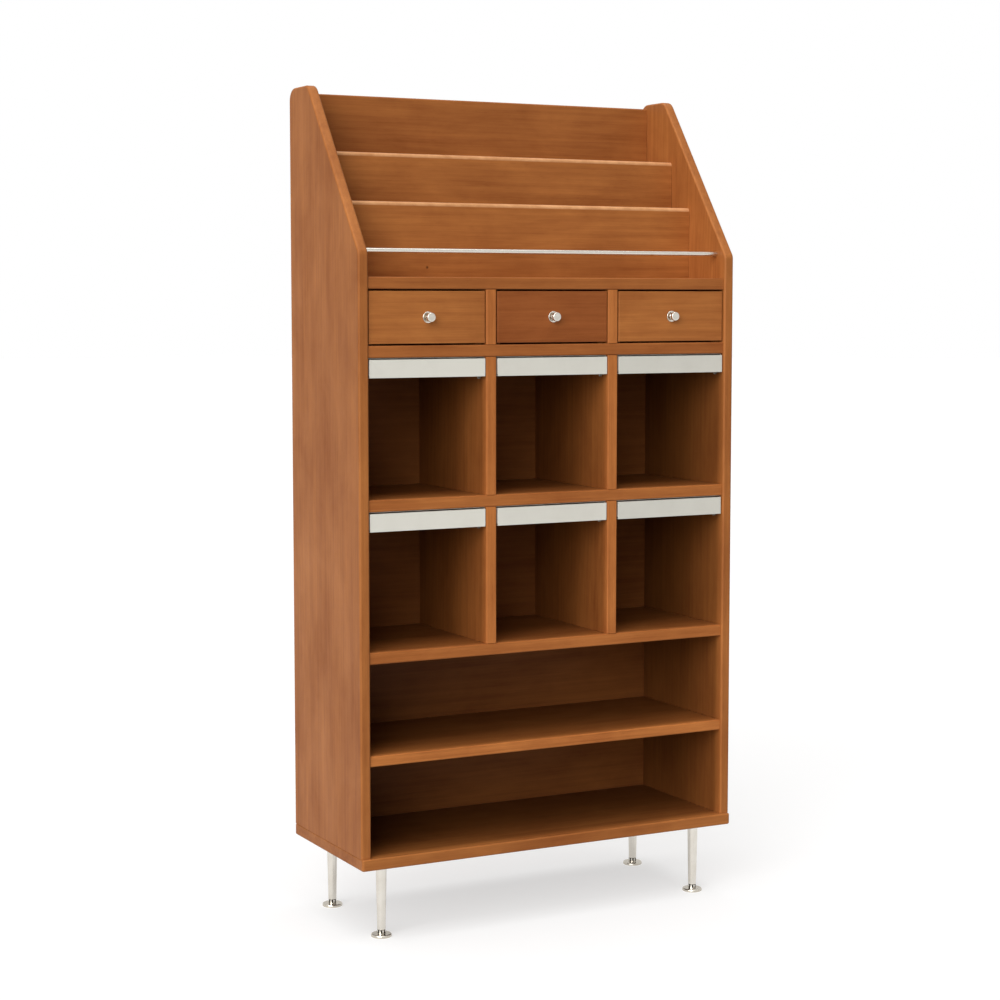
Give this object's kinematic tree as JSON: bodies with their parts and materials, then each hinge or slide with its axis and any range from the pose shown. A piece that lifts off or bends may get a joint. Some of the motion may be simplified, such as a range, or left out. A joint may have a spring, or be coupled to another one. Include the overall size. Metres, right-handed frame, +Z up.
{
  "type": "display and pigeonhole cabinet",
  "caption": "Tall wooden cabinet on metal legs with magazine tiers, drawers, pigeonholes with metal-fronted trays, and open bays.",
  "frame": {"origin": "centre of the footprint, on the floor", "axes": "+Z up, front faces -Y, +X to the right as seen from the front"},
  "size_m": [0.8, 0.3332, 1.581],
  "materials": {
    "cabinet_wood": "satin amber stain",
    "dark_drawer_wood": "satin amber stain, darker board",
    "satin_nickel": "satin nickel plate",
    "satin_sheet": "satin sheet metal"
  },
  "bodies": {
    "cabinet": {"side_panel_left": "cabinet_wood", "side_panel_right": "cabinet_wood", "bottom_board": "cabinet_wood", "lower_shelf": "cabinet_wood", "cubby_floor": "cabinet_wood", "cubby_mid_shelf": "cabinet_wood", "drawer_deck": "cabinet_wood", "display_deck": "cabinet_wood", "tier_board_front": "cabinet_wood", "tier_board_rear": "cabinet_wood", "back_panel": "cabinet_wood", "tier_floor_front": "cabinet_wood", "tier_floor_rear": "cabinet_wood", "lower_cubby_divider_left": "cabinet_wood", "lower_cubby_divider_right": "cabinet_wood", "upper_cubby_divider_left": "cabinet_wood", "upper_cubby_divider_right": "cabinet_wood", "drawer_divider_left": "cabinet_wood", "drawer_divider_right": "cabinet_wood", "retaining_rail": "satin_nickel", "upper_left_tray_carrier": "satin_sheet", "upper_centre_tray_carrier": "satin_sheet", "upper_right_tray_carrier": "satin_sheet", "lower_left_tray_carrier": "satin_sheet", "lower_centre_tray_carrier": "satin_sheet", "lower_right_tray_carrier": "satin_sheet", "leg_front_left": "satin_nickel", "leg_front_right": "satin_nickel", "leg_rear_left": "satin_nickel", "leg_rear_right": "satin_nickel"},
    "left_drawer": {"left_drawer_front": "cabinet_wood", "left_drawer_side_left": "cabinet_wood", "left_drawer_side_right": "cabinet_wood", "left_drawer_back": "cabinet_wood", "left_drawer_bottom": "cabinet_wood", "left_drawer_knob": "satin_nickel"},
    "centre_drawer": {"centre_drawer_front": "dark_drawer_wood", "centre_drawer_side_left": "cabinet_wood", "centre_drawer_side_right": "cabinet_wood", "centre_drawer_back": "cabinet_wood", "centre_drawer_bottom": "cabinet_wood", "centre_drawer_knob": "satin_nickel"},
    "right_drawer": {"right_drawer_front": "cabinet_wood", "right_drawer_side_left": "cabinet_wood", "right_drawer_side_right": "cabinet_wood", "right_drawer_back": "cabinet_wood", "right_drawer_bottom": "cabinet_wood", "right_drawer_knob": "satin_nickel"},
    "upper_left_tray": {"upper_left_tray": "satin_sheet"},
    "upper_centre_tray": {"upper_centre_tray": "satin_sheet"},
    "upper_right_tray": {"upper_right_tray": "satin_sheet"},
    "lower_left_tray": {"lower_left_tray": "satin_sheet"},
    "lower_centre_tray": {"lower_centre_tray": "satin_sheet"},
    "lower_right_tray": {"lower_right_tray": "satin_sheet"},
    "foot_front_left": {"foot_front_left": "satin_nickel"},
    "foot_front_right": {"foot_front_right": "satin_nickel"},
    "foot_rear_left": {"foot_rear_left": "satin_nickel"},
    "foot_rear_right": {"foot_rear_right": "satin_nickel"}
  },
  "joints": [
    {"name": "left_drawer_slide", "type": "slide", "parent": "cabinet", "child": "left_drawer", "axis": [0, -1, 0], "range_m": [0, 0.2]},
    {"name": "centre_drawer_slide", "type": "slide", "parent": "cabinet", "child": "centre_drawer", "axis": [0, -1, 0], "range_m": [0, 0.2]},
    {"name": "right_drawer_slide", "type": "slide", "parent": "cabinet", "child": "right_drawer", "axis": [0, -1, 0], "range_m": [0, 0.2]},
    {"name": "upper_left_tray_slide", "type": "slide", "parent": "cabinet", "child": "upper_left_tray", "axis": [0, -1, 0], "range_m": [0, 0.18]},
    {"name": "upper_centre_tray_slide", "type": "slide", "parent": "cabinet", "child": "upper_centre_tray", "axis": [0, -1, 0], "range_m": [0, 0.18]},
    {"name": "upper_right_tray_slide", "type": "slide", "parent": "cabinet", "child": "upper_right_tray", "axis": [0, -1, 0], "range_m": [0, 0.18]},
    {"name": "lower_left_tray_slide", "type": "slide", "parent": "cabinet", "child": "lower_left_tray", "axis": [0, -1, 0], "range_m": [0, 0.18]},
    {"name": "lower_centre_tray_slide", "type": "slide", "parent": "cabinet", "child": "lower_centre_tray", "axis": [0, -1, 0], "range_m": [0, 0.18]},
    {"name": "lower_right_tray_slide", "type": "slide", "parent": "cabinet", "child": "lower_right_tray", "axis": [0, -1, 0], "range_m": [0, 0.18]},
    {"name": "foot_front_left_screw", "type": "slide", "parent": "cabinet", "child": "foot_front_left", "axis": [0, 0, -1], "range_m": [0, 0.01]},
    {"name": "foot_front_right_screw", "type": "slide", "parent": "cabinet", "child": "foot_front_right", "axis": [0, 0, -1], "range_m": [0, 0.01]},
    {"name": "foot_rear_left_screw", "type": "slide", "parent": "cabinet", "child": "foot_rear_left", "axis": [0, 0, -1], "range_m": [0, 0.01]},
    {"name": "foot_rear_right_screw", "type": "slide", "parent": "cabinet", "child": "foot_rear_right", "axis": [0, 0, -1], "range_m": [0, 0.01]}
  ]
}
